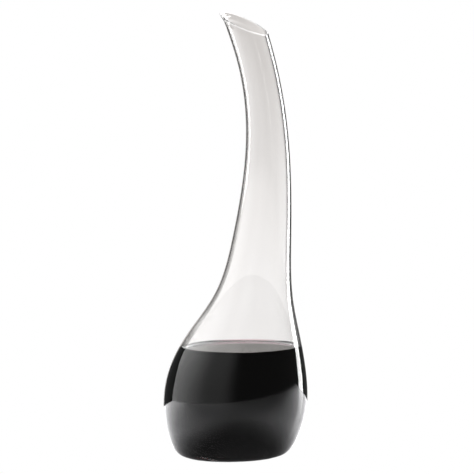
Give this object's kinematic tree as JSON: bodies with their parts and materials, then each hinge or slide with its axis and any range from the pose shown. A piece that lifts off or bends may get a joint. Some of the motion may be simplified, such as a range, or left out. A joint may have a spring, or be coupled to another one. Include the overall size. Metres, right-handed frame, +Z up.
{
  "type": "wine decanter",
  "caption": "Tall slant-necked glass wine decanter with a tear-drop bowl, a curved open neck and an obliquely cut mouth, part filled with red wine.",
  "frame": {"origin": "on the table plane, at the middle of the decanter's footprint; the axis of the base is 4.1 mm from it towards -X", "axes": "+Z up; the neck leans out towards +X and curls back; the pouring tip of the mouth is on the -X side; the XZ plane is the plane of symmetry"},
  "size_m": [0.116, 0.115, 0.3565],
  "materials": {
    "clear_glass": "clear blown glass, fire polished",
    "red_wine": "still liquid surface, near black in depth, pink-red at its thin edge"
  },
  "bodies": {
    "root": {"glass_vessel": "clear_glass", "wine": "red_wine"}
  },
  "joints": []
}
